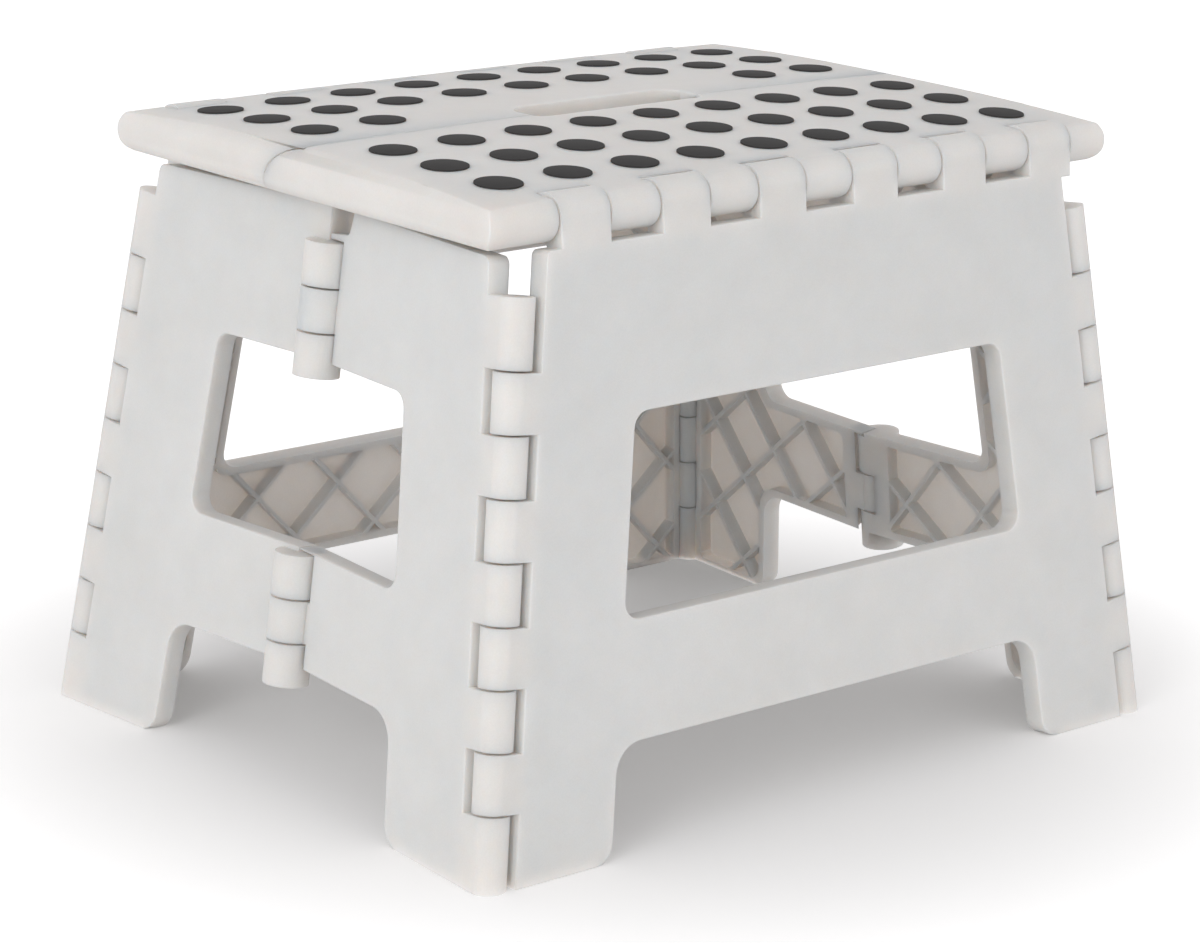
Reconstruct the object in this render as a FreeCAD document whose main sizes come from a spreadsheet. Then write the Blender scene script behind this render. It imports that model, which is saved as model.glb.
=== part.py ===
import FreeCAD, Part
import math
import os
from FreeCAD import Vector, Placement, Rotation

# Folding step stool, moulded in ivory plastic, in its open position.
# Frame: +Z up, +X along the long front edge, +Y from the front leg to the back leg.
# The origin is on the floor, under the middle of the seat. All sizes are millimetres.

doc = FreeCAD.newDocument("folding_stool")

# Driving sizes: every cell has an alias, and the pieces read them from here.
SIZES = [
    ("seat_height", 220.0, "crown of the seat above the floor"),
    ("leg_face_reach", 103.0, "front face of a leg from the middle, at seat height"),
    ("leg_lean", 5.9, "lean of the legs from upright, degrees"),
    ("end_face_reach", 126.5, "outer face of an end from the middle, at seat height"),
    ("end_lean", 7.15, "lean of the ends from upright, degrees"),
    ("end_toe_in", 4.5, "turn of each end half about its corner, degrees"),
    ("panel_thick", 8.0, "thickness of legs and end halves"),
    ("skin_thick", 2.6, "outer skin of the moulded panels"),
    ("wall_thick", 3.0, "edge walls of the moulded panels"),
    ("rib_thick", 1.6, "diagonal ribs inside the panels"),
    ("rib_pitch", 26.0, "spacing of the diagonal ribs"),
    ("fold_gap", 0.25, "hinge axis beyond the inner faces at a corner"),
    ("face_gap", 0.3, "hinge axis beyond faces that meet when folded"),
    ("barrel_gap", 0.35, "room round a turning barrel"),
    ("knuckle_gap", 0.7, "slit between neighbouring knuckles"),
    ("pin_radius", 2.0, "hinge pins"),
    ("pin_fit", 0.06, "radial clearance of a pin in its bore"),
    ("pin_end_gap", 1.0, "room beyond each end of a pin in its blind bore"),
    ("pin_cover", 3.0, "solid end of a short hinge beyond its bore"),
    ("corner_pin_bed", 12.0, "depth of a corner bore in the lowest knuckle"),
    ("corner_pin_cover", 5.5, "solid top of a corner above its bore"),
    ("edge_pin_bed", 7.0, "depth of an edge bore in each end cap of the seat"),
    ("knuckle_round", 6.3, "outer rounding of the corner knuckles"),
    ("knuckle_hub", 4.4, "corner knuckles round their pin"),
    ("bore_sides", 12.0, "flats of the bored pin holes"),
    ("corner_edge", 13.0, "panel edge from the outer corner line"),
    ("foot_round", 8.0, "rounding of the feet beside the arches"),
    ("foot_trim", 0.1, "depth to which the feet are cut flat at the floor"),
    ("foot_knuckle", 24.0, "length of the lowest corner knuckle"),
    ("corner_knuckle", 20.16, "length of one corner knuckle"),
    ("corner_top", 188.5, "top of the highest corner knuckle, along the corner"),
    ("leg_frame", 53.0, "width of a leg frame beside its window, from the corner line"),
    ("end_frame", 57.5, "width of an end frame beside its window, from the corner line"),
    ("leg_arch", 38.0, "height of the arch under a leg"),
    ("leg_window_low", 78.0, "lower edge of a leg window"),
    ("leg_window_top", 145.0, "upper edge of a leg window"),
    ("leg_panel_top", 200.6, "top edge of a leg panel"),
    ("end_arch", 42.0, "height of the arch under an end"),
    ("end_window_low", 82.0, "lower edge of an end window"),
    ("end_window_top", 146.0, "upper edge of an end window"),
    ("end_panel_top", 198.0, "top edge of an end half"),
    ("window_round", 6.0, "corner radius of the windows"),
    ("arch_round", 11.0, "corner radius of the arches"),
    ("centre_barrel", 8.0, "radius of the barrels in the middle of an end"),
    ("centre_knuckle", 15.2, "length of one knuckle in the middle of an end"),
    ("centre_upper", 163.5, "height of the middle of the upper centre hinge"),
    ("centre_lower", 58.0, "height of the middle of the lower centre hinge"),
    ("centre_edge_gap", 0.3, "end of a half from the middle plane"),
    ("open_bore", 4.45, "bore radius of the upper centre knuckle, wide for the fold"),
    ("open_bore_shift", 1.6, "shift of that bore from the hinge axis, each way"),
    ("lower_bore", 2.75, "bore radius of the lower centre knuckle"),
    ("lower_room", 1.3, "room round the lower centre barrels, wide for the fold"),
    ("notch_wide", 17.0, "width of the notch above the upper centre hinge"),
    ("edge_barrel", 7.8, "radius of the barrels along the seat's long edges"),
    ("edge_axis_height", 209.3, "hinge axis of the long edges above the floor"),
    ("edge_segment", 21.03, "length of one knuckle of the long edges"),
    ("edge_offset", 5.3, "middle of the row of knuckles from the middle of the seat"),
    ("seat_half_length", 138.5, "end of the seat from the middle"),
    ("seat_underside", 201.5, "lower edge of the seat skirt"),
    ("seat_skin", 4.6, "thickness of the seat's top"),
    ("seat_round", 5.5, "rounding of the seat's ends, below"),
    ("seat_top_round", 9.0, "rounding of the seat's ends, above"),
    ("seat_end_wall", 8.0, "end walls of the seat above its hollow"),
    ("seam_gap", 0.25, "each half of the seat from the middle plane"),
    ("nose_radius", 17.1, "rounded nose of the front half, about the centre hinge"),
    ("nose_gap", 0.7, "groove between the nose and the back half"),
    ("crown_across", 1584.0, "radius of the seat's crown from front to back"),
    ("crown_along", 6600.0, "radius of the seat's crown from end to end"),
    ("slot_half_length", 38.0, "hand slot from its middle to each end"),
    ("slot_front", 5.0, "front edge of the hand slot from the seam"),
    ("slot_back", 15.0, "back edge of the hand slot from the seam"),
    ("slot_round", 9.0, "corner radius of the hand slot, where there is room for it"),
    ("seat_knuckle_radius", 5.5, "barrels of the hinge in the middle of the seat"),
    ("seat_knuckle_start", 46.0, "first knuckle of the middle hinge from the slot's middle"),
    ("seat_knuckle_outer", 15.0, "length of an outer knuckle of the middle hinge"),
    ("seat_knuckle_inner", 30.0, "length of its inner knuckle"),
    ("dot_radius", 8.0, "grip dots"),
    ("dot_pitch_x", 28.4, "spacing of the grip dots along the seat"),
    ("dot_pitch_y", 27.6, "spacing of the rows of grip dots"),
    ("dot_first_row", 21.7, "first row of grip dots from the seam"),
    ("dot_sides", 18.0, "sides of a grip dot"),
    ("dot_proud", 0.5, "height of a grip dot above the seat"),
]

sheet = doc.addObject("Spreadsheet::Sheet", "sizes")
for row, (alias, value, note) in enumerate(SIZES, start=1):
    sheet.set("A%d" % row, alias)
    sheet.set("B%d" % row, str(value))
    sheet.set("C%d" % row, note)
    sheet.setAlias("B%d" % row, alias)
doc.recompute()


def size(alias):
    return float(sheet.get(alias))


# Derived values that several pieces share.
thick = size("panel_thick")
corner_depth = thick + size("fold_gap")
tan_leg = math.tan(math.radians(size("leg_lean")))
tan_end = math.tan(math.radians(size("end_lean")))
crown_top = size("seat_height")
edge_axis_z = size("edge_axis_height")
UP = Vector(0, 0, 1)
ORIGIN = Vector(0, 0, 0)


def unit(vector):
    result = Vector(vector)
    result.normalize()
    return result


def planes_line(normal_a, reach_a, normal_b, reach_b):
    """Line shared by two planes: its point on the floor and its upward direction."""
    scale = normal_a.x * normal_b.y - normal_a.y * normal_b.x
    point = Vector((reach_a * normal_b.y - normal_a.y * reach_b) / scale,
                   (normal_a.x * reach_b - reach_a * normal_b.x) / scale, 0)
    direction = unit(normal_a.cross(normal_b))
    if direction.z < 0:
        direction = direction * -1
    return point, direction


# Outer faces of the front leg and of the left end, before the toe-in.
leg_normal = unit(Vector(0, -1, tan_leg))
leg_reach = leg_normal.dot(Vector(0, -size("leg_face_reach"), crown_top))
end_normal_straight = unit(Vector(-1, 0, tan_end))
end_reach_straight = end_normal_straight.dot(Vector(-size("end_face_reach"), 0, crown_top))

# Front left corner axis, then the toed-in face of the end half that turns about it.
corner_foot, corner_up = planes_line(leg_normal, leg_reach - corner_depth,
                                     end_normal_straight, end_reach_straight - corner_depth)
toe_turn = Rotation(corner_up, -size("end_toe_in"))
end_normal = toe_turn.multVec(end_normal_straight)
if end_normal.y < 0:
    end_normal = toe_turn.inverted().multVec(end_normal_straight)
end_reach = end_normal.dot(corner_foot) + corner_depth

# Axis of the hinge in the middle of the left end.
centre_foot, centre_up = planes_line(end_normal, end_reach + size("face_gap"), Vector(0, 1, 0), 0.0)

# Hinge axes of the seat: the long front edge, and the middle under the seam.
edge_axis_y = -(size("leg_face_reach") + (crown_top - edge_axis_z) * tan_leg
                - size("edge_barrel") / math.cos(math.radians(size("leg_lean"))))
fold_stack = size("face_gap") + thick + 2 * size("fold_gap")
seat_axis_z = edge_axis_z - (fold_stack + thick - size("edge_barrel"))


def frame_of(origin, x_axis, y_axis):
    """Placement whose local X and Y follow the given directions."""
    z_axis = x_axis.cross(y_axis)
    return Placement(origin, Rotation(x_axis, y_axis, z_axis, "XYZ"))


def half_turn(placement):
    """The same piece on the opposite side, turned half way round the upright axis."""
    return Placement(ORIGIN, Rotation(UP, 180)).multiply(placement)


# Panel frames: local Z runs inward from the outer face, local Y runs up the panel.
leg_up = unit(Vector(0, tan_leg, 1))
leg_floor = Vector(0, -size("leg_face_reach") - crown_top * tan_leg, 0)
leg_place = frame_of(leg_floor, Vector(-1, 0, 0), leg_up)
end_tip = unit(end_normal.cross(corner_up))
end_place = frame_of(corner_foot + end_normal * corner_depth, end_tip, corner_up)


def mirrored(vector):
    return Vector(vector.x, -vector.y, vector.z)


end_back_place = frame_of(mirrored(corner_foot + end_normal * corner_depth),
                          mirrored(end_tip) * -1, mirrored(corner_up))


def local(placement, point):
    return placement.inverse().multVec(point)


def at_height(placement, across, height):
    """Point of a panel's outer face, given its local X and its height above the floor."""
    x_axis = placement.Rotation.multVec(Vector(1, 0, 0))
    y_axis = placement.Rotation.multVec(Vector(0, 1, 0))
    along = (height - placement.Base.z - across * x_axis.z) / y_axis.z
    return (across, along)


# Outlines: closed loops of corners (x, y, radius), with rounded corners as arcs.
def inset(corners, distances):
    """Loop whose edges are moved inward; distances[i] belongs to the edge that leaves corner i."""
    count = len(corners)
    area = sum(corners[i][0] * corners[(i + 1) % count][1] - corners[(i + 1) % count][0] * corners[i][1]
               for i in range(count))
    turn = 1.0 if area > 0 else -1.0
    lines = []
    for i in range(count):
        x0, y0 = corners[i][:2]
        x1, y1 = corners[(i + 1) % count][:2]
        length = math.hypot(x1 - x0, y1 - y0)
        nx, ny = -(y1 - y0) / length * turn, (x1 - x0) / length * turn
        lines.append((nx, ny, nx * x0 + ny * y0 + distances[i]))
    result = []
    for i in range(count):
        ax, ay, ac = lines[i - 1]
        bx, by, bc = lines[i]
        scale = ax * by - ay * bx
        radius = corners[i][2]
        result.append(((ac * by - ay * bc) / scale, (ax * bc - ac * bx) / scale, radius))
    return result


def loop_edges(corners):
    """Line and arc geometry of a closed loop with rounded corners."""
    count = len(corners)
    ends = []
    for i in range(count):
        here = Vector(corners[i][0], corners[i][1], 0)
        back = unit(Vector(corners[i - 1][0], corners[i - 1][1], 0) - here)
        ahead = unit(Vector(corners[(i + 1) % count][0], corners[(i + 1) % count][1], 0) - here)
        radius = corners[i][2]
        if radius <= 0:
            ends.append((here, None, here))
            continue
        half = back.getAngle(ahead) / 2
        cut = radius / math.tan(half)
        middle = unit(back + ahead)
        centre = here + middle * (radius / math.sin(half))
        ends.append((here + back * cut, centre - middle * radius, here + ahead * cut))
    edges = []
    for i in range(count):
        start, arc_mid, finish = ends[i]
        if arc_mid is not None:
            edges.append(Part.Arc(start, arc_mid, finish))
        following = ends[(i + 1) % count][0]
        if finish.distanceToPoint(following) > 1e-6:
            edges.append(Part.LineSegment(finish, following))
    return edges


def loop_face(outer, holes=()):
    wires = [Part.Wire([edge.toShape() for edge in loop_edges(loop)]) for loop in (outer,) + tuple(holes)]
    face = Part.Face(wires[0])
    for wire in wires[1:]:
        face = face.cut(Part.Face(wire))
    return face


# Document helpers: each makes one object and binds its sizes to the sheet.
def plane_of(body, role):
    return [item for item in body.Origin.OriginFeatures if item.Role == role][0]


def add_sketch(body, name, loops, height=None, role="XY_Plane"):
    sketch = body.newObject("Sketcher::SketchObject", name)
    sketch.AttachmentSupport = [(plane_of(body, role), "")]
    sketch.MapMode = "FlatFace"
    if height is not None:
        sketch.setExpression("AttachmentOffset.Base.z", height)
    for loop in loops:
        sketch.addGeometry(loop_edges(loop), False)
    return sketch


def add_pad(body, name, sketch, length):
    pad = body.newObject("PartDesign::Pad", name)
    pad.Profile = sketch
    pad.setExpression("Length", length)
    body.Tip = pad
    return pad


def add_pocket(body, name, sketch, length):
    pocket = body.newObject("PartDesign::Pocket", name)
    pocket.Profile = sketch
    pocket.Reversed = True
    pocket.setExpression("Length", length)
    body.Tip = pocket
    return pocket


def add_cylinder(name, radius, start, direction, length):
    """Cylinder whose radius is an expression on the sheet, from start along direction."""
    cylinder = doc.addObject("Part::Cylinder", name)
    cylinder.setExpression("Radius", radius)
    cylinder.Height = length
    cylinder.Placement = Placement(start, Rotation(UP, direction))
    return cylinder


def add_bore(name, bore, start, direction, length):
    """Hole for a pin, with flats that touch a circle whose radius is an expression on the sheet."""
    prism = doc.addObject("Part::Prism", name)
    prism.Polygon = int(size("bore_sides"))
    prism.setExpression("Circumradius", "(%s) / cos(180deg / sizes.bore_sides)" % bore)
    prism.Height = length
    prism.Placement = Placement(start, Rotation(UP, direction))
    return prism


def add_box(name, low, high):
    box = doc.addObject("Part::Box", name)
    box.Length = high[0] - low[0]
    box.Width = high[1] - low[1]
    box.Height = high[2] - low[2]
    box.Placement = Placement(Vector(*low), Rotation())
    return box


def add_shape(name, shape):
    feature = doc.addObject("Part::Feature", name)
    feature.Shape = shape
    return feature


def add_fuse(name, pieces):
    fuse = doc.addObject("Part::MultiFuse", name)
    fuse.Shapes = pieces
    return fuse


def add_piece(label, placement, solids, cutters):
    """Finished sub-part: its solids joined, its cutters taken away, set in the stool's frame."""
    joined = add_fuse(label + "_solids", solids) if len(solids) > 1 else solids[0]
    piece = joined
    if cutters:
        piece = doc.addObject("Part::Cut", label + "_piece")
        piece.Base = joined
        piece.Tool = add_fuse(label + "_cutters", cutters) if len(cutters) > 1 else cutters[0]
    piece.Label = label
    piece.Placement = placement
    PIECES.append(piece)
    return piece


PIECES = []


def floor_cutter(name, placement):
    """Everything below the floor, in the local frame of a leaning panel."""
    reach = 400
    box = doc.addObject("Part::Box", name)
    box.Length = reach
    box.Width = reach
    box.Height = thick * 4
    below = Placement(Vector(-reach / 2, -reach / 2, -thick * 4), Rotation())
    box.Placement = placement.inverse().multiply(below)
    return box


def lattice(region):
    """Diagonal ribs, both ways, that fill the hollow of a panel."""
    bounds = region.BoundBox
    middle = bounds.Center
    half = bounds.DiagonalLength / 2
    bars = []
    for slope in (45, -45):
        count = int(half / size("rib_pitch"))
        for step in range(-count, count + 1):
            bar = Part.makeBox(2 * half, size("rib_thick"), bounds.ZLength,
                               Vector(-half, -size("rib_thick") / 2 + step * size("rib_pitch"), 0))
            bar.rotate(ORIGIN, UP, slope)
            bar.translate(Vector(middle.x, middle.y, bounds.ZMin))
            bars.append(bar)
    return bars[0].multiFuse(bars[1:]).common(region)


# Corner hinges: nine knuckles to a corner, the odd ones on the end, the even ones on the leg.
def corner_slits():
    return [size("foot_knuckle") + size("corner_knuckle") * step for step in range(8)]


def corner_spans(on_end):
    """Lengths along the corner axis that the knuckles of one side take up."""
    slits = corner_slits()
    edges = [-2 * thick] + slits + [size("corner_top")]
    half_gap = size("knuckle_gap") / 2
    spans = []
    for index in range(0 if on_end else 1, 9, 2):
        low = edges[index] + (half_gap if index > 0 else 0)
        high = edges[index + 1] - (half_gap if index < 8 else 0)
        spans.append((low, high))
    return spans


def corner_bore_span():
    return size("foot_knuckle") - size("corner_pin_bed"), size("corner_top") - size("corner_pin_cover")


def add_corner_bore(name, origin, direction):
    low, high = corner_bore_span()
    return add_bore(name + "_bore", "sizes.pin_radius + sizes.pin_fit", origin + direction * low,
                    direction, high - low)


def corner_knuckles(name, origin, direction, to_panel, to_face, spans):
    """Knuckles of a corner: rounded flush with both outer faces, with a web to their own panel."""
    inward = corner_depth - size("knuckle_round")
    centre = origin + (to_face - to_panel) * inward
    side = to_panel.cross(direction)
    depths = sorted((side.dot(to_face) * (corner_depth - thick), side.dot(to_face) * corner_depth))
    turned = Placement(origin, Rotation(to_panel, direction, side, "XYZ"))
    solids = []
    for index, (low, high) in enumerate(spans):
        tag = "%s_%d" % (name, index)
        solids.append(add_cylinder(tag + "_round", "sizes.knuckle_round", centre + direction * low,
                                   direction, high - low))
        solids.append(add_cylinder(tag + "_hub", "sizes.knuckle_hub", origin + direction * low,
                                   direction, high - low))
        web = add_box(tag + "_web", (-inward, low, depths[0]),
                      (size("corner_edge") - corner_depth + size("wall_thick") / 2, high, depths[1]))
        web.Placement = turned.multiply(web.Placement)
        solids.append(web)
    return solids


def clearance_spans(spans):
    """Spans of the other side's knuckles, as wide as their slits."""
    gap = size("knuckle_gap")
    return [(low - gap, high + gap) for low, high in spans]


# Legs.
def make_leg(label, placement):
    home = leg_place
    axis_left = local(home, corner_foot)
    axis_dir = home.Rotation.inverted().multVec(corner_up)

    def axis_x(along):
        return axis_left.x + axis_dir.x / axis_dir.y * (along - axis_left.y)

    def side(distance, height):
        """Local corner at a distance from the outer corner line, on the +X side."""
        along = at_height(home, 0, height)[1]
        return axis_x(along) + corner_depth - distance, along

    top = size("leg_panel_top")
    frame = size("leg_frame")
    foot_x, foot_y = side(size("corner_edge"), -size("foot_trim"))
    top_x, top_y = side(size("corner_edge"), top)
    arch_foot_x, arch_foot_y = side(frame, -size("foot_trim"))
    arch_x, arch_y = side(frame, size("leg_arch"))
    arch_r = size("arch_round")
    foot_r = size("foot_round")
    outline = [(foot_x, foot_y, 0), (top_x, top_y, 2.0), (-top_x, top_y, 2.0), (-foot_x, foot_y, 0),
               (-arch_foot_x, arch_foot_y, foot_r), (-arch_x, arch_y, arch_r),
               (arch_x, arch_y, arch_r), (arch_foot_x, arch_foot_y, foot_r)]
    low_x, low_y = side(frame, size("leg_window_low"))
    high_x, high_y = side(frame, size("leg_window_top"))
    round_r = size("window_round")
    window = [(low_x, low_y, round_r), (high_x, high_y, round_r),
              (-high_x, high_y, round_r), (-low_x, low_y, round_r)]
    wall = size("wall_thick")
    hollow = inset(outline, [wall] * len(outline))
    hollow_hole = inset(window, [-wall] * 4)

    body = doc.addObject("PartDesign::Body", label + "_panel")
    add_pad(body, label + "_outline_pad", add_sketch(body, label + "_outline", [outline, window]),
            "sizes.panel_thick")
    add_pocket(body, label + "_hollow_pocket",
               add_sketch(body, label + "_hollow", [hollow, hollow_hole], "sizes.skin_thick"),
               "sizes.panel_thick - sizes.skin_thick")
    region = loop_face(hollow, [hollow_hole]).extrude(Vector(0, 0, thick - size("skin_thick")))
    region.translate(Vector(0, 0, size("skin_thick")))
    ribs = add_shape(label + "_ribs", lattice(region))

    solids = [body, ribs]
    cutters = [floor_cutter(label + "_floor", home)]
    for sign in (1, -1):
        origin = Vector(sign * axis_left.x, axis_left.y, corner_depth)
        direction = Vector(sign * axis_dir.x, axis_dir.y, axis_dir.z)
        tag = "%s_%s" % (label, "a" if sign > 0 else "b")
        to_face = Vector(0, 0, -1)
        to_panel = unit(direction.cross(to_face)) * sign
        solids += corner_knuckles(tag, origin, direction, to_panel, to_face, corner_spans(False))
        cutters.append(add_corner_bore(tag, origin, direction))

    # Knuckles along the top edge: six barrels on webs, flush with the outer face.
    axis_y = local(home, Vector(0, edge_axis_y, edge_axis_z))
    for low, high in edge_spans(True):
        start = Vector(-low, axis_y.y, axis_y.z)
        solids.append(add_cylinder(label + "_edge_barrel", "sizes.edge_barrel", start, Vector(-1, 0, 0),
                                   high - low))
        solids.append(add_box(label + "_edge_web", (-high, top_y - 2, 0), (-low, axis_y.y, thick)))
    bore_low, bore_high = edge_pin_span()
    cutters.append(add_bore(label + "_edge_bore", "sizes.pin_radius + sizes.pin_fit",
                            Vector(-bore_low, axis_y.y, axis_y.z), Vector(-1, 0, 0), bore_high - bore_low))
    return add_piece(label, placement, solids, cutters)


# Long edge hinges: six leg knuckles and five seat knuckles between the seat's end caps.
def edge_spans(on_leg):
    start = size("edge_offset") - 5.5 * size("edge_segment")
    half_gap = size("knuckle_gap") / 2
    return [(start + size("edge_segment") * index + half_gap, start + size("edge_segment") * (index + 1) - half_gap)
            for index in range(0 if on_leg else 1, 11, 2)]


def edge_pin_span():
    reach = 5.5 * size("edge_segment") + size("edge_pin_bed")
    return size("edge_offset") - reach, size("edge_offset") + reach


# End halves: type "inner" carries the middle knuckle, type "outer" the two beside it.
def centre_spans(middle, kind):
    length = size("centre_knuckle")
    half_gap = size("knuckle_gap") / 2
    if kind == "inner":
        return [(middle - length / 2 + half_gap, middle + length / 2 - half_gap)]
    return [(middle - 1.5 * length, middle - length / 2 - half_gap),
            (middle + length / 2 + half_gap, middle + 1.5 * length)]


def make_end_half(label, placement, home, sign, kind):
    """One half of an end; sign is the direction of local X that points at the middle hinge."""
    foot = local(home, centre_foot)
    up = home.Rotation.inverted().multVec(centre_up)
    foot_centre = Vector(foot.x, foot.y, -size("face_gap"))

    def tip(along):
        return foot.x + up.x / up.y * (along - foot.y) - sign * size("centre_edge_gap")

    def at(distance, height):
        across = sign * (distance - corner_depth)
        return at_height(home, across, height)

    def tip_at(height):
        across = tip(height)
        along = at_height(home, across, height)[1]
        return tip(along), along

    corner = size("corner_edge")
    frame = size("end_frame")
    round_r = size("window_round")
    low_x, low_y = at(corner, -size("foot_trim"))
    high_x, high_y = at(corner, size("end_panel_top"))
    arch_foot = at(frame, -size("foot_trim"))
    arch = at(frame, size("end_arch"))
    arch_tip = tip_at(size("end_arch"))
    rail_tip = tip_at(size("end_window_low"))
    rail = at(frame, size("end_window_low"))
    head = at(frame, size("end_window_top"))
    head_tip = tip_at(size("end_window_top"))
    top_tip = tip_at(size("end_panel_top"))
    outline = [(low_x, low_y, 0), arch_foot + (size("foot_round"),), arch + (size("arch_round"),), arch_tip + (0,),
               rail_tip + (0,), rail + (round_r,), head + (round_r,), head_tip + (0,),
               top_tip + (0,), (high_x, high_y, 3.0)]
    wall = size("wall_thick")
    box_wall = size("centre_barrel") + size("barrel_gap") + wall
    hollow = inset(outline, [wall, wall, wall, box_wall, wall, wall, wall, box_wall, wall, wall])

    body = doc.addObject("PartDesign::Body", label + "_panel")
    add_pad(body, label + "_outline_pad", add_sketch(body, label + "_outline", [outline]),
            "sizes.panel_thick")
    add_pocket(body, label + "_hollow_pocket",
               add_sketch(body, label + "_hollow", [hollow], "sizes.skin_thick"),
               "sizes.panel_thick - sizes.skin_thick")
    region = loop_face(hollow).extrude(Vector(0, 0, thick - size("skin_thick")))
    region.translate(Vector(0, 0, size("skin_thick")))
    ribs = add_shape(label + "_ribs", lattice(region))

    solids = [body, ribs]
    cutters = [floor_cutter(label + "_floor", home)]
    origin = Vector(0, 0, corner_depth)
    direction = Vector(0, 1, 0)
    solids += corner_knuckles(label, origin, direction, Vector(sign, 0, 0), Vector(0, 0, -1),
                              corner_spans(True))
    cutters.append(add_corner_bore(label, origin, direction))

    # Middle hinge: barrels that bulge out of the outer face, in two stations.
    room_kind = "outer" if kind == "inner" else "inner"
    for station, room in (("upper", "barrel_gap"), ("lower", "lower_room")):
        reach = size("centre_" + station) / centre_up.z
        for index, (low, high) in enumerate(centre_spans(reach, kind)):
            solids.append(add_cylinder("%s_%s_barrel_%d" % (label, station, index), "sizes.centre_barrel",
                                       foot_centre + up * low, up, high - low))
        for index, (low, high) in enumerate(clearance_spans(centre_spans(reach, room_kind))):
            cutters.append(add_cylinder("%s_%s_room_%d" % (label, station, index),
                                        "sizes.centre_barrel + sizes." + room,
                                        foot_centre + up * low, up, high - low))
        bore_low = reach - 1.5 * size("centre_knuckle") + size("pin_cover")
        bore_long = 3 * size("centre_knuckle") - 2 * size("pin_cover")
        if kind == "outer":
            cutters.append(add_bore("%s_%s_bore" % (label, station), "sizes.pin_radius + sizes.pin_fit",
                                    foot_centre + up * bore_low, up, bore_long))
        elif station == "upper":
            shift = Vector(sign * size("open_bore_shift"), 0, -size("open_bore_shift"))
            cutters.append(add_bore(label + "_upper_bore", "sizes.open_bore",
                                    foot_centre + shift + up * bore_low, up, bore_long))
        else:
            cutters.append(add_bore(label + "_lower_bore", "sizes.lower_bore",
                                    foot_centre + up * bore_low, up, bore_long))
    if kind == "inner":
        notch_low = at_height(home, tip(0), size("centre_upper") + 1.5 * size("centre_knuckle"))[1]
        x_tip = tip(notch_low) + sign * 3
        wide = size("notch_wide")
        loop = [(x_tip, notch_low, 0), (x_tip - sign * (wide - 3), notch_low, 2.0),
                (x_tip - sign * (wide + 2), top_tip[1] + 5, 0), (x_tip, top_tip[1] + 5, 0)]
        notch = loop_face(loop).extrude(Vector(0, 0, 3 * thick))
        notch.translate(Vector(0, 0, -thick))
        cutters.append(add_shape(label + "_notch", notch))
    return add_piece(label, placement, solids, cutters)


# Seat halves, both drawn with the long edge hinge towards -Y and the seam at Y = 0.
def crown_body(name, lift):
    """Everything under the gently domed top of the seat, raised by lift."""
    along = size("crown_along")
    across = size("crown_across")
    dome = doc.addObject("Part::Torus", name)
    dome.setExpression("Radius1", "sizes.crown_along - sizes.crown_across")
    dome.setExpression("Radius2", "sizes.crown_across")
    dome.Placement = Placement(Vector(0, 0, crown_top + lift - along), Rotation(UP, Vector(0, 1, 0)))
    return dome


def ends_body(name):
    """Everything between the seat's two rounded ends."""
    half = size("seat_half_length")
    body = doc.addObject("PartDesign::Body", name)
    low = size("seat_round")
    top = size("seat_top_round")
    foot = size("seat_underside")
    head = crown_height(half - 2 * top, 0) + 0.1
    outline = [(-half, foot, low), (half, foot, low), (half, head, top), (half - 2 * top, head, 0),
               (half - 2 * top, crown_top + 1, 0), (-half + 2 * top, crown_top + 1, 0),
               (-half + 2 * top, head, 0), (-half, head, top)]
    pad = add_pad(body, name + "_pad", add_sketch(body, name + "_outline", [outline], role="XZ_Plane"),
                  "3 * sizes.leg_face_reach")
    pad.Midplane = True
    return body


def crown_height(x, y):
    return crown_top - x * x / (2 * size("crown_along")) - y * y / (2 * size("crown_across"))


def dot_places(is_front):
    """Centres of the grip dots of one half; the hand slot takes the middle of the back half's first row."""
    places = []
    for line in range(3):
        y = -(size("dot_first_row") + size("dot_pitch_y") * line)
        for column in range(-4, 5):
            if is_front or line > 0 or abs(column) > 2:
                places.append((column * size("dot_pitch_x"), y))
    return places


def middle_spans(on_front):
    """Knuckles of the hinge under the seam, on both sides of the hand slot."""
    start = size("seat_knuckle_start")
    outer = size("seat_knuckle_outer")
    inner = size("seat_knuckle_inner")
    gap = size("knuckle_gap")
    if on_front:
        near = [(start, start + outer), (start + outer + inner, start + 2 * outer + inner)]
    else:
        near = [(start + outer + gap, start + outer + inner - gap)]
    return near + [(-high, -low) for low, high in near]


def middle_bore_span():
    start = size("seat_knuckle_start")
    end = start + 2 * size("seat_knuckle_outer") + size("seat_knuckle_inner")
    return start + size("pin_cover"), end - size("pin_cover")


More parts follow.
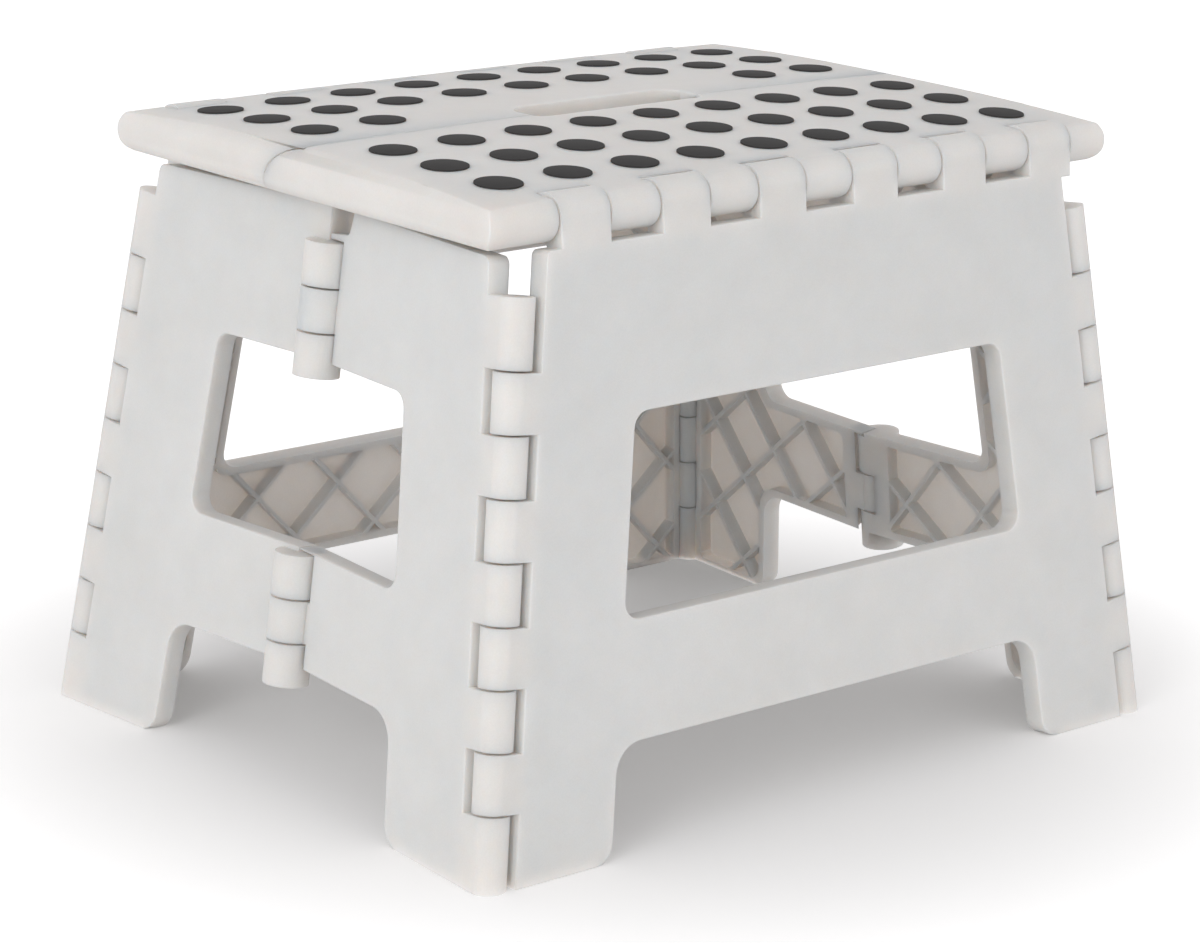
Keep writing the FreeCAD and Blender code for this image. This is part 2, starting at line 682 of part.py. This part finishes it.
def make_seat_half(label, placement, is_front):
    half = size("seat_half_length")
    low = size("seat_underside")
    barrel = size("edge_barrel")
    axis = Vector(0, edge_axis_y, edge_axis_z)
    seam = -size("seam_gap")
    nose = size("nose_radius")
    middle = Vector(0, 0, seat_axis_z)
    along_x = Vector(1, 0, 0)
    wall = size("wall_thick")
    slot_end = size("slot_half_length")

    # Block, hollow underneath, with the slot's rim left standing.
    body = doc.addObject("PartDesign::Body", label + "_block")
    outline = [(-half, axis.y, 0), (half, axis.y, 0), (half, seam, 0), (-half, seam, 0)]
    sketch = add_sketch(body, label + "_outline", [outline], "sizes.seat_underside")
    add_pad(body, label + "_block_pad", sketch, "sizes.seat_height + 2 - sizes.seat_underside")
    front_edge = axis.y + barrel + size("barrel_gap") + wall
    back_edge = seam - 2 * wall if is_front else -(nose + size("nose_gap") + wall)
    slot_edge = -(size("slot_front") if is_front else size("slot_back"))
    end_edge = half - size("seat_end_wall")
    hollow = [(-end_edge, front_edge, 2), (end_edge, front_edge, 2), (end_edge, back_edge, 2),
              (-end_edge, back_edge, 2)]
    reach = slot_end + wall
    inner_edge = slot_edge - wall
    if inner_edge < back_edge:
        hollow[3:3] = [(reach, back_edge, 0), (reach, inner_edge, 0), (-reach, inner_edge, 0),
                       (-reach, back_edge, 0)]
    sketch = add_sketch(body, label + "_hollow", [hollow], "sizes.seat_underside")
    add_pocket(body, label + "_hollow_pocket", sketch,
               "sizes.edge_axis_height + sizes.edge_barrel + 1 - sizes.seat_underside - sizes.seat_skin")
    depth = edge_axis_z + barrel + 1 - low - size("seat_skin")
    region = loop_face(hollow).extrude(Vector(0, 0, depth))
    region.translate(Vector(0, 0, low))
    ribs = add_shape(label + "_ribs", lattice(region))
    solids = [body, ribs]

    # Long edge: one barrel from end to end, notched afterwards for the leg's knuckles.
    solids.append(add_cylinder(label + "_edge", "sizes.edge_barrel", axis - along_x * half, along_x, 2 * half))
    cutters = []
    gap = size("barrel_gap")
    for index, (start, stop) in enumerate(clearance_spans(edge_spans(True))):
        cutters.append(add_cylinder("%s_notch_%d" % (label, index), "sizes.edge_barrel + sizes.barrel_gap",
                                    axis + along_x * start, along_x, stop - start))
        cutters.append(add_box("%s_clear_%d" % (label, index), (start, axis.y - 2 * barrel, low - 2),
                               (stop, axis.y, crown_top + 2)))
    bore_low, bore_high = edge_pin_span()
    cutters.append(add_bore(label + "_edge_bore", "sizes.pin_radius + sizes.pin_fit",
                            axis + along_x * bore_low, along_x, bore_high - bore_low))

    # Middle hinge: the front half has the rounded nose, the back half the hollow it turns in.
    own = middle_spans(is_front)
    if is_front:
        nose_body = doc.addObject("Part::Cylinder", label + "_nose")
        nose_body.setExpression("Radius", "sizes.nose_radius")
        nose_body.Height = 2 * half
        nose_body.Angle = 90
        nose_body.Placement = Placement(middle + Vector(-half, 0, size("face_gap")),
                                        Rotation(Vector(0, 1, 0), Vector(0, 0, 1), along_x, "XYZ"))
        solids.append(nose_body)
        solids.append(add_box(label + "_nose_root", (-half, seam - 1, middle.z + size("face_gap")),
                              (half, 0, middle.z + nose)))
    else:
        cutters.append(add_cylinder(label + "_socket", "sizes.nose_radius + sizes.nose_gap",
                                    middle - along_x * (half + 1), along_x, 2 * half + 2))
    other = clearance_spans(middle_spans(not is_front))
    web_top = middle.z + size("seat_knuckle_radius") + 1
    if is_front:
        for index, (start, stop) in enumerate(other):
            cutters.append(add_box("%s_web_room_%d" % (label, index),
                                   (start, -size("seat_knuckle_radius") - gap, middle.z - 1),
                                   (stop, nose + 2, web_top + gap)))
    corner = min(abs(slot_edge), size("slot_round"))
    slot_loop = [(-slot_end, slot_edge, corner - 0.01), (slot_end, slot_edge, corner - 0.01),
                 (slot_end, nose + 5, 0), (-slot_end, nose + 5, 0)]
    slot_shape = loop_face(slot_loop).extrude(Vector(0, 0, crown_top + barrel - low))
    slot_shape.translate(Vector(0, 0, low - barrel / 2))
    cutters.append(add_shape(label + "_slot", slot_shape))

    # The domed top and rounded ends, then the knuckles of the middle hinge, which hang lower.
    joined = add_fuse(label + "_solids", solids)
    domed = doc.addObject("Part::MultiCommon", label + "_domed")
    domed.Shapes = [joined, crown_body(label + "_crown", 0), ends_body(label + "_ends")]
    trimmed = doc.addObject("Part::Cut", label + "_trimmed")
    trimmed.Base = domed
    trimmed.Tool = add_fuse(label + "_cutters", cutters)
    knuckles = [trimmed]
    for index, (start, stop) in enumerate(own):
        knuckles.append(add_cylinder("%s_knuckle_%d" % (label, index), "sizes.seat_knuckle_radius",
                                     middle + along_x * start, along_x, stop - start))
        if not is_front:
            knuckles.append(add_box("%s_knuckle_web_%d" % (label, index),
                                    (start, -(nose + size("nose_gap") + wall), middle.z + size("face_gap")),
                                    (stop, 0, web_top)))
    bores = []
    if is_front:
        for index, (start, stop) in enumerate(other):
            bores.append(add_cylinder("%s_knuckle_room_%d" % (label, index),
                                      "sizes.seat_knuckle_radius + sizes.barrel_gap",
                                      middle + along_x * start, along_x, stop - start))
    bore_start, bore_end = middle_bore_span()
    for side in (1, -1):
        bores.append(add_bore("%s_middle_bore_%d" % (label, side), "sizes.pin_radius + sizes.pin_fit",
                              middle + along_x * (side * bore_start), along_x * side, bore_end - bore_start))
    return add_piece(label, placement, knuckles, bores)


def make_dots(label, placement, is_front):
    """Soft grip dots, square to the dome on which they sit."""
    dots = []
    for index, (x, y) in enumerate(dot_places(is_front)):
        dot = doc.addObject("Part::Prism", "%s_dot_%d" % (label, index))
        dot.Polygon = int(size("dot_sides"))
        dot.setExpression("Circumradius", "sizes.dot_radius")
        dot.setExpression("Height", "sizes.dot_proud")
        outward = Vector(x / size("crown_along"), y / size("crown_across"), 1)
        dot.Placement = Placement(Vector(x, y, crown_height(x, y)), Rotation(UP, outward))
        dots.append(dot)
    piece = doc.addObject("Part::Compound", label + "_dots")
    piece.Links = dots
    piece.Label = label
    piece.Placement = placement
    PIECES.append(piece)
    return piece


def make_pin(label, placement, start, direction, length):
    """Plain steel pin."""
    pin = add_cylinder(label + "_pin", "sizes.pin_radius", start, direction, length)
    pin.Placement = placement.multiply(pin.Placement)
    pin.Label = label
    PIECES.append(pin)
    return pin


def make_pins():
    home = Placement()
    turned = half_turn(home)
    end_gap = size("pin_end_gap")
    along_x = Vector(1, 0, 0)
    low, high = corner_bore_span()
    corner_long = high - low - 2 * end_gap
    corner_start = corner_foot + corner_up * (low + end_gap)
    back_up = mirrored(corner_up)
    make_pin("corner_pin_front_left", home, corner_start, corner_up, corner_long)
    make_pin("corner_pin_back_right", turned, corner_start, corner_up, corner_long)
    make_pin("corner_pin_back_left", home, mirrored(corner_start), back_up, corner_long)
    make_pin("corner_pin_front_right", turned, mirrored(corner_start), back_up, corner_long)

    low, high = edge_pin_span()
    edge_start = Vector(low + end_gap, edge_axis_y, edge_axis_z)
    make_pin("seat_edge_pin_front", home, edge_start, along_x, high - low - 2 * end_gap)
    make_pin("seat_edge_pin_back", turned, edge_start, along_x, high - low - 2 * end_gap)

    low, high = middle_bore_span()
    middle_start = Vector(low + end_gap, 0, seat_axis_z)
    make_pin("seat_middle_pin_right", home, middle_start, along_x, high - low - 2 * end_gap)
    make_pin("seat_middle_pin_left", turned, middle_start, along_x, high - low - 2 * end_gap)

    inset_low = size("pin_cover") + end_gap
    centre_long = 3 * size("centre_knuckle") - 2 * inset_low
    for station in ("upper", "lower"):
        reach = size("centre_" + station) / centre_up.z - 1.5 * size("centre_knuckle") + inset_low
        start = centre_foot + centre_up * reach
        make_pin("end_pin_left_" + station, home, start, centre_up, centre_long)
        make_pin("end_pin_right_" + station, turned, start, centre_up, centre_long)


make_leg("leg_front", leg_place)
make_leg("leg_back", half_turn(leg_place))
make_end_half("end_left_front", end_place, end_place, 1, "inner")
make_end_half("end_left_back", end_back_place, end_back_place, -1, "outer")
make_end_half("end_right_back", half_turn(end_place), end_place, 1, "inner")
make_end_half("end_right_front", half_turn(end_back_place), end_back_place, -1, "outer")
make_seat_half("seat_front", Placement(), True)
make_seat_half("seat_back", half_turn(Placement()), False)
make_dots("seat_front_grip_dots", Placement(), True)
make_dots("seat_back_grip_dots", half_turn(Placement()), False)
make_pins()

doc.recompute()


def check(objects):
    for item in objects:
        if "Invalid" in item.State or "Error" in item.State:
            raise SystemExit("failed object: " + item.Label)
    for piece in PIECES:
        if piece.Shape.isNull() or not piece.Shape.isValid():
            raise SystemExit("bad shape: " + piece.Label)


check(doc.Objects)
os.makedirs("parts", exist_ok=True)
for piece in PIECES:
    piece.Shape.exportStep("parts/%s.step" % piece.Label)
    print("%-22s solids %d volume %.0f" % (piece.Label, len(piece.Shape.Solids), piece.Shape.Volume))
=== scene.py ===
import math

import bmesh
import bpy
from mathutils import Matrix, Vector


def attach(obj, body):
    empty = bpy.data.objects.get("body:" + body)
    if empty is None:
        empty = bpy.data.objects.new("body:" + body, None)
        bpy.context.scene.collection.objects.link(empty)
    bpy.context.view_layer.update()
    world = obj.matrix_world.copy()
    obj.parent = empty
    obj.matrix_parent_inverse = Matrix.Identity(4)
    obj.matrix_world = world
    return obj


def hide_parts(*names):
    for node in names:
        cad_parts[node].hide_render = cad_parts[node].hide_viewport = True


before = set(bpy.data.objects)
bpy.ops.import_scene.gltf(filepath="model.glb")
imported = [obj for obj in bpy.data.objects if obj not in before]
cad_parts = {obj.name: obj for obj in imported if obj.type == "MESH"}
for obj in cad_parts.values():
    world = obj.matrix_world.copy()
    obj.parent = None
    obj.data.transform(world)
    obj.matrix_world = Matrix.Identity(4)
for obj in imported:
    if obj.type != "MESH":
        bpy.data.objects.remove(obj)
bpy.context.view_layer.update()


# Camera: a long lens a little above the seat, looking at the front left corner of the stool.
# Its place and turn were fitted to the photograph's hinge lines and grip dots.
LENS_LENGTH = 114.65  # millimetres, like the sensor; all else is in metres
SENSOR_WIDTH = 36.0
LENS_SHIFT = (0.0009, 0.0003)
LENS_CLIP = (0.05, 60.0)
CAMERA_PLACE = Vector((-0.85803, -1.00285, 0.45448))
TO_RIGHT = Vector((0.76507, -0.64354, 0.02267))
TO_TOP = Vector((0.15622, 0.21965, 0.96299))
TO_STOOL = Vector((0.62470, 0.73322, -0.26858))

lens = bpy.data.cameras.new("photo_lens")
lens.lens = LENS_LENGTH
lens.sensor_width = SENSOR_WIDTH
lens.shift_x, lens.shift_y = LENS_SHIFT
lens.clip_start, lens.clip_end = LENS_CLIP
camera = bpy.data.objects.new("photo_camera", lens)
bpy.context.scene.collection.objects.link(camera)
turn = Matrix((TO_RIGHT, TO_TOP, -TO_STOOL)).transposed()
camera.matrix_world = Matrix.Translation(CAMERA_PLACE) @ turn.to_4x4()
bpy.context.scene.camera = camera
bpy.context.scene.view_settings.view_transform = "Standard"


# Studio: a pale floor and plain soft light, from all round and from large lamps.
# The floor shows nearly white to the camera and keeps the stool's soft shadow.
WHITE = (1.0, 1.0, 1.0)
AIR_COLOUR = (1.0, 0.985, 0.99)
AIR_HEIGHTS = (0.2, 1.0)  # from just above the floor to straight up
AIR_STRENGTHS = (0.92, 0.46)
LAMP_TARGET = Vector((0, 0, 0.1))
FLOOR_SIZE = 16
FLOOR_PLACE = Vector((0, 3, 0))
FLOOR_DARK = (0.90, 0.90, 0.90)
FLOOR_LIGHT = (0.93, 0.93, 0.93)
FLOOR_BLOTCHES = 1.5
GLOW_DISTANCES = (0.13, 0.36)  # from the stool's middle
GLOW_STRENGTHS = (0.10, 0.62)


def node_material(name):
    """New material with its node tree and its shader."""
    material = bpy.data.materials.new(name)
    material.use_nodes = True
    return material, material.node_tree, material.node_tree.nodes["Principled BSDF"]


def noise(tree, coords, scale, detail=2.0, rough=0.5):
    """Noise at the given coordinates; the scale is in bumps per unit."""
    node = tree.nodes.new("ShaderNodeTexNoise")
    node.inputs["Scale"].default_value = scale
    node.inputs["Detail"].default_value = detail
    node.inputs["Roughness"].default_value = rough
    tree.links.new(coords, node.inputs["Vector"])
    return node.outputs["Fac"]


def ramp(tree, value, low, low_colour, high, high_colour):
    """Colour that goes from one to another while a value rises from low to high."""
    node = tree.nodes.new("ShaderNodeValToRGB")
    stops = node.color_ramp.elements
    stops[0].position, stops[0].color = low, (*low_colour, 1)
    stops[1].position, stops[1].color = high, (*high_colour, 1)
    tree.links.new(value, node.inputs["Fac"])
    return node.outputs["Color"]


def spread(tree, value, span, results, kind="LINEAR"):
    """Value carried over from one span of numbers to another."""
    node = tree.nodes.new("ShaderNodeMapRange")
    node.interpolation_type = kind
    node.inputs["From Min"].default_value, node.inputs["From Max"].default_value = span
    node.inputs["To Min"].default_value, node.inputs["To Max"].default_value = results
    tree.links.new(value, node.inputs["Value"])
    return node.outputs["Result"]


def worked_out(tree, operation, first, second):
    """Result of a sum with two values."""
    node = tree.nodes.new("ShaderNodeMath")
    node.operation = operation
    tree.links.new(first, node.inputs[0])
    tree.links.new(second, node.inputs[1])
    return node.outputs[0]


def studio_air():
    """World whose light is stronger low down, and which the camera sees as plain white."""
    world = bpy.data.worlds.new("studio_air")
    world.use_nodes = True
    tree = world.node_tree
    place = tree.nodes.new("ShaderNodeTexCoord")
    height = tree.nodes.new("ShaderNodeSeparateXYZ")
    tree.links.new(place.outputs["Generated"], height.inputs["Vector"])
    light = tree.nodes["Background"]
    light.inputs["Color"].default_value = (*AIR_COLOUR, 1)
    tree.links.new(spread(tree, height.outputs["Z"], AIR_HEIGHTS, AIR_STRENGTHS),
                   light.inputs["Strength"])
    backdrop = tree.nodes.new("ShaderNodeBackground")
    backdrop.inputs["Color"].default_value = (*WHITE, 1)
    rays = tree.nodes.new("ShaderNodeLightPath")
    in_view = worked_out(tree, "MAXIMUM", rays.outputs["Is Camera Ray"],
                         rays.outputs["Is Transmission Ray"])
    choice = tree.nodes.new("ShaderNodeMixShader")
    tree.links.new(in_view, choice.inputs["Fac"])
    tree.links.new(light.outputs[0], choice.inputs[1])
    tree.links.new(backdrop.outputs[0], choice.inputs[2])
    tree.links.new(choice.outputs[0], tree.nodes["World Output"].inputs["Surface"])
    return world


def studio_lamp(name, place, size, power, colour=WHITE):
    """Round soft lamp that is turned to the stool."""
    light = bpy.data.lights.new(name, "AREA")
    light.shape = "DISK"
    light.size = size
    light.energy = power
    light.color = colour
    lamp = bpy.data.objects.new(name, light)
    bpy.context.scene.collection.objects.link(lamp)
    lamp.location = place
    lamp.rotation_euler = (LAMP_TARGET - Vector(place)).to_track_quat("-Z", "Y").to_euler()


def floor_paint():
    """Pale matt paint that glows a little for the camera, and more so away from the stool."""
    paint, tree, shader = node_material("floor_paint")
    place = tree.nodes.new("ShaderNodeTexCoord")
    blotches = noise(tree, place.outputs["Generated"], FLOOR_BLOTCHES)
    tree.links.new(ramp(tree, blotches, 0, FLOOR_DARK, 1, FLOOR_LIGHT),
                   shader.inputs["Base Color"])
    shader.inputs["Roughness"].default_value = 0.9
    shader.inputs["Specular IOR Level"].default_value = 0.1
    from_stool = tree.nodes.new("ShaderNodeVectorMath")
    from_stool.operation = "DISTANCE"
    from_stool.inputs[1].default_value = -FLOOR_PLACE
    tree.links.new(place.outputs["Object"], from_stool.inputs[0])
    glow = spread(tree, from_stool.outputs["Value"], GLOW_DISTANCES, GLOW_STRENGTHS, "SMOOTHSTEP")
    rays = tree.nodes.new("ShaderNodeLightPath")
    shader.inputs["Emission Color"].default_value = (*WHITE, 1)
    tree.links.new(worked_out(tree, "MULTIPLY", rays.outputs["Is Camera Ray"], glow),
                   shader.inputs["Emission Strength"])
    return paint


bpy.context.scene.world = studio_air()
studio_lamp("overhead_lamp", (-0.3, -0.2, 2.2), 1.6, 1)
studio_lamp("left_lamp", (-2.2, -0.9, 1.1), 1.4, 14)
studio_lamp("front_lamp", (0.2, -2.6, 1.0), 1.6, 4, (0.97, 0.98, 1.0))
bpy.ops.mesh.primitive_plane_add(size=FLOOR_SIZE, location=FLOOR_PLACE)
floor = bpy.context.object
floor.name = "studio_floor"
floor.data.materials.append(floor_paint())


# Legs: the wide front and back panels, injection moulded in ivory polypropylene with a fine
# spark-eroded grain. Each is the same moulding, turned round for the other side.
IVORY_DARK = (0.800, 0.780, 0.752)
IVORY_LIGHT = (0.830, 0.812, 0.788)
CLOUD = (0.965, 0.965, 0.965)
FLECK = (0.975, 0.975, 0.975)
FLOW_SCALE = 14
HAZE_SCALE = 70
GRAIN_SCALE = 1800
SEEP_SHARE = 0.8
SEEP_DEPTH = 0.010
SEEP_COLOURS = (1.0, 0.80, 0.68)
EDGE_ROUND = 0.0005  # radius that the mould leaves on an outer edge
ROUND_STEPS = 3
SHARP = math.radians(33)  # least turn between two faces that makes an edge
IN_LINE = math.cos(math.radians(35))  # edges that turn less run on in one line
SAME_FACE = math.radians(0.25)
SAME_POINT = 0.000004
FINE_STEP = 0.00045  # shorter edges also limit the rounding of those in line with them
FACE_TOLERANCE = 0.0003
ROOM_SHARE = 0.45  # most that a rounding takes of an edge beside it
ROOM_ALONG = 4  # most that it takes of its own edge's length
LARGE_FACES_LEAD = 100  # smoothing follows the large faces, so they stay flat


def multiplied(tree, first, second):
    """One colour tinted by another."""
    node = tree.nodes.new("ShaderNodeMix")
    node.data_type = "RGBA"
    node.blend_type = "MULTIPLY"
    node.inputs[0].default_value = 1.0
    tree.links.new(first, node.inputs[6])
    tree.links.new(second, node.inputs[7])
    return node.outputs[2]


def bumped(tree, height, strength, distance, before=None):
    """Normal that follows a height, on top of an earlier bump where there is one."""
    node = tree.nodes.new("ShaderNodeBump")
    node.inputs["Strength"].default_value = strength
    node.inputs["Distance"].default_value = distance
    tree.links.new(height, node.inputs["Height"])
    if before is not None:
        tree.links.new(before, node.inputs["Normal"])
    return node.outputs["Normal"]


def moulded_ivory():
    """Ivory plastic: faint clouds and flecks, a fine grain, and light that seeps into it."""
    plastic, tree, shader = node_material("moulded_ivory")
    where = tree.nodes.new("ShaderNodeTexCoord").outputs["Object"]
    flow = noise(tree, where, FLOW_SCALE, 3)
    haze = noise(tree, where, HAZE_SCALE, 4, 0.6)
    grain = noise(tree, where, GRAIN_SCALE)
    tone = ramp(tree, flow, 0.3, IVORY_DARK, 0.7, IVORY_LIGHT)
    clouds = ramp(tree, haze, 0.35, CLOUD, 0.7, WHITE)
    flecks = ramp(tree, grain, 0.35, FLECK, 0.65, WHITE)
    tree.links.new(multiplied(tree, multiplied(tree, tone, clouds), flecks),
                   shader.inputs["Base Color"])
    tree.links.new(spread(tree, haze, (0, 1), (0.42, 0.56)), shader.inputs["Roughness"])
    broad = bumped(tree, haze, 0.12, 0.0004)
    tree.links.new(bumped(tree, grain, 0.22, 0.00012, broad), shader.inputs["Normal"])
    shader.inputs["IOR"].default_value = 1.49
    shader.inputs["Subsurface Weight"].default_value = SEEP_SHARE
    shader.inputs["Subsurface Radius"].default_value = SEEP_COLOURS
    shader.inputs["Subsurface Scale"].default_value = SEEP_DEPTH
    return plastic


def outer_face(mesh):
    """Test for points on the flat outer face of a moulded panel, its largest face."""
    face = max(mesh.polygons, key=lambda polygon: polygon.area)
    normal = face.normal.copy()
    reach = normal.dot(face.center)
    return lambda point: abs(normal.dot(point) - reach) < FACE_TOLERANCE


def weigh_edges(mesh, outside):
    """Give each sharp outer edge its share of the rounding, less beside short edges."""
    form = bmesh.new()
    form.from_mesh(mesh)
    weight = form.edges.layers.float.new("bevel_weight_edge")
    sharp = {edge for edge in form.edges
             if len(edge.link_faces) == 2 and edge.calc_face_angle(0) > SHARP
             and all(outside(corner.co) for corner in edge.verts)}
    for edge in sharp:
        along = (edge.verts[1].co - edge.verts[0].co).normalized()
        room = edge.calc_length() * ROOM_ALONG
        for corner in edge.verts:
            for other in corner.link_edges:
                ahead = (other.verts[1].co - other.verts[0].co).normalized()
                crossing = other not in sharp or abs(along.dot(ahead)) < IN_LINE
                if other is not edge and (crossing or other.calc_length() < FINE_STEP):
                    room = min(room, other.calc_length())
        edge[weight] = min(1.0, ROOM_SHARE * room / EDGE_ROUND)
    form.to_mesh(mesh)
    form.free()


def clean_faces(middle_cut):
    """Join the facets of each flat face of the active piece, in two where it has a middle."""
    bpy.ops.object.mode_set(mode="EDIT")
    bpy.ops.mesh.select_all(action="SELECT")
    bpy.ops.mesh.remove_doubles(threshold=SAME_POINT)
    if middle_cut:
        bpy.ops.mesh.bisect(plane_co=(0, 0, 0), plane_no=(1, 0, 0))
        bpy.ops.mesh.mark_seam()
        bpy.ops.mesh.select_all(action="SELECT")
    bpy.ops.mesh.dissolve_limited(angle_limit=SAME_FACE, delimit={"SEAM"})
    bpy.ops.object.mode_set(mode="OBJECT")


def moulding(node, body, outside=None, middle_cut=False):
    """Copy of a moulded piece with its outer edges rounded the way a mould leaves them."""
    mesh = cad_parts[node].data.copy()
    piece = bpy.data.objects.new(node + "_moulding", mesh)
    bpy.context.scene.collection.objects.link(piece)
    bpy.ops.object.select_all(action="DESELECT")
    bpy.context.view_layer.objects.active = piece
    piece.select_set(True)
    clean_faces(middle_cut)
    weigh_edges(mesh, outside or outer_face(mesh))
    rounding = piece.modifiers.new("edge_rounding", "BEVEL")
    rounding.width = EDGE_ROUND
    rounding.segments = ROUND_STEPS
    rounding.limit_method = "WEIGHT"
    rounding.use_clamp_overlap = False
    rounding.loop_slide = False
    rounding.miter_outer = "MITER_ARC"
    bpy.ops.object.modifier_apply(modifier=rounding.name)
    bpy.ops.object.shade_smooth_by_angle(angle=SHARP)
    flat_faces = piece.modifiers.new("flat_faces", "WEIGHTED_NORMAL")
    flat_faces.keep_sharp = True
    flat_faces.weight = LARGE_FACES_LEAD
    bpy.ops.object.modifier_apply(modifier=flat_faces.name)
    piece.data.materials.clear()
    piece.data.materials.append(ivory)
    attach(piece, body)
    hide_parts(node)


ivory = moulded_ivory()
for leg in ("leg_front", "leg_back"):
    moulding(leg, leg, middle_cut=True)


# End halves: two folding halves at each end, moulded in the same ivory plastic, with a barrel
# hinge where they meet and knuckles that interleave with the legs' at the corners.
for half in ("end_left_front", "end_left_back", "end_right_front", "end_right_back"):
    moulding(half, half)


# Seat halves: two domed halves of the same plastic, which meet in a curved rule joint under
# the seam. The hand slot is mostly in the back half.
SEAT_TOP = 0.2200
CROWN_ACROSS = 1.584
CROWN_ALONG = 6.600
SEAT_AXIS_Z = 0.2093
SEAT_AXIS_Y = 0.096264
SEAT_BARREL = 0.0078


def seat_crown(x, y):
    """Height of the seat's domed top at a place."""
    return SEAT_TOP - x * x / (2 * CROWN_ALONG) - y * y / (2 * CROWN_ACROSS)


def seat_outside(point):
    """Test for points on the visible skin of the seat: its crown and its long edges."""
    past_axis = abs(point.y) - SEAT_AXIS_Y
    rim = math.hypot(past_axis, point.z - SEAT_AXIS_Z)
    on_crown = point.z > seat_crown(point.x, point.y) - FACE_TOLERANCE
    return on_crown or (past_axis > 0 and rim > SEAT_BARREL - FACE_TOLERANCE)


for half in ("seat_front", "seat_back"):
    moulding(half, half, seat_outside)


# Grip dots: soft black rubber, moulded into round pockets and standing a little proud.
# Their tops carry a fine matt grain.
DOT_PITCH_X = 0.0284
DOT_PITCH_Y = 0.0276
DOT_FIRST_ROW = 0.0217
DOT_RADIUS = 0.008
DOT_PROUD = 0.0005
DOT_RIM = 0.3 * DOT_PROUD
DOT_SIDES = 56
RUBBER_DARK = (0.028, 0.027, 0.027)
RUBBER_LIGHT = (0.045, 0.043, 0.042)
DUST_SCALE = 220
PORE_SCALE = 2600


def grip_rubber():
    """Black rubber, dusty and matt."""
    rubber, tree, shader = node_material("grip_rubber")
    where = tree.nodes.new("ShaderNodeTexCoord").outputs["Object"]
    dust = noise(tree, where, DUST_SCALE, 5, 0.65)
    pores = noise(tree, where, PORE_SCALE)
    tree.links.new(ramp(tree, dust, 0.3, RUBBER_DARK, 0.75, RUBBER_LIGHT),
                   shader.inputs["Base Color"])
    tree.links.new(spread(tree, dust, (0, 1), (0.62, 0.82)), shader.inputs["Roughness"])
    tree.links.new(bumped(tree, pores, 0.35, 0.0001), shader.inputs["Normal"])
    shader.inputs["Specular IOR Level"].default_value = 0.3
    return rubber


def grip_dots(node, body, side, rows):
    """Round pads of one half of the seat; side is -1 for the front half and 1 for the back."""
    pads = []
    for line, columns in enumerate(rows):
        for column in columns:
            x = DOT_PITCH_X * column
            y = side * (DOT_FIRST_ROW + DOT_PITCH_Y * line)
            up = Vector((x / CROWN_ALONG, y / CROWN_ACROSS, 1))
            bpy.ops.mesh.primitive_cylinder_add(
                vertices=DOT_SIDES, radius=DOT_RADIUS, depth=2 * DOT_PROUD,
                location=(x, y, seat_crown(x, y)), rotation=up.to_track_quat("Z", "Y").to_euler())
            pads.append(bpy.context.object)
    bpy.ops.object.select_all(action="DESELECT")
    for pad in pads:
        pad.select_set(True)
    bpy.context.view_layer.objects.active = pads[0]
    bpy.ops.object.join()
    bpy.ops.object.transform_apply(location=True, rotation=True, scale=True)
    piece = bpy.context.object
    piece.name = node + "_pads"
    rounding = piece.modifiers.new("rim", "BEVEL")
    rounding.width = DOT_RIM
    rounding.segments = ROUND_STEPS
    rounding.limit_method = "ANGLE"
    rounding.angle_limit = SHARP
    bpy.ops.object.modifier_apply(modifier=rounding.name)
    bpy.ops.object.shade_smooth_by_angle(angle=SHARP)
    piece.data.materials.clear()
    piece.data.materials.append(rubber)
    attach(piece, body)
    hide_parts(node)


rubber = grip_rubber()
full_row = range(-4, 5)
row_beside_slot = (-4, -3, 3, 4)
grip_dots("seat_front_grip_dots", "seat_front", -1, (full_row, full_row, full_row))
grip_dots("seat_back_grip_dots", "seat_back", 1, (row_beside_slot, full_row, full_row))


# Hinge pins: drawn steel wire, cut square and pushed into blind bores, so that hardly
# anything of them shows.
STEEL_DARK = (0.42, 0.42, 0.43)
STEEL_LIGHT = (0.62, 0.62, 0.63)
DRAWN_SCALE = 900
DRAWN_STRETCH = (1.0, 1.0, 0.05)


def pin_steel():
    """Bright wire with fine lines left along it by the drawing die."""
    steel, tree, shader = node_material("pin_steel")
    place = tree.nodes.new("ShaderNodeTexCoord")
    stretch = tree.nodes.new("ShaderNodeMapping")
    stretch.inputs["Scale"].default_value = DRAWN_STRETCH
    tree.links.new(place.outputs["Object"], stretch.inputs["Vector"])
    lines = noise(tree, stretch.outputs["Vector"], DRAWN_SCALE, 3)
    tree.links.new(ramp(tree, lines, 0.3, STEEL_DARK, 0.7, STEEL_LIGHT),
                   shader.inputs["Base Color"])
    tree.links.new(bumped(tree, lines, 0.2, 0.00005), shader.inputs["Normal"])
    shader.inputs["Metallic"].default_value = 1.0
    shader.inputs["Roughness"].default_value = 0.35
    return steel


steel = pin_steel()
for name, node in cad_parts.items():
    if "_pin" in name:
        node.data.materials.clear()
        node.data.materials.append(steel)
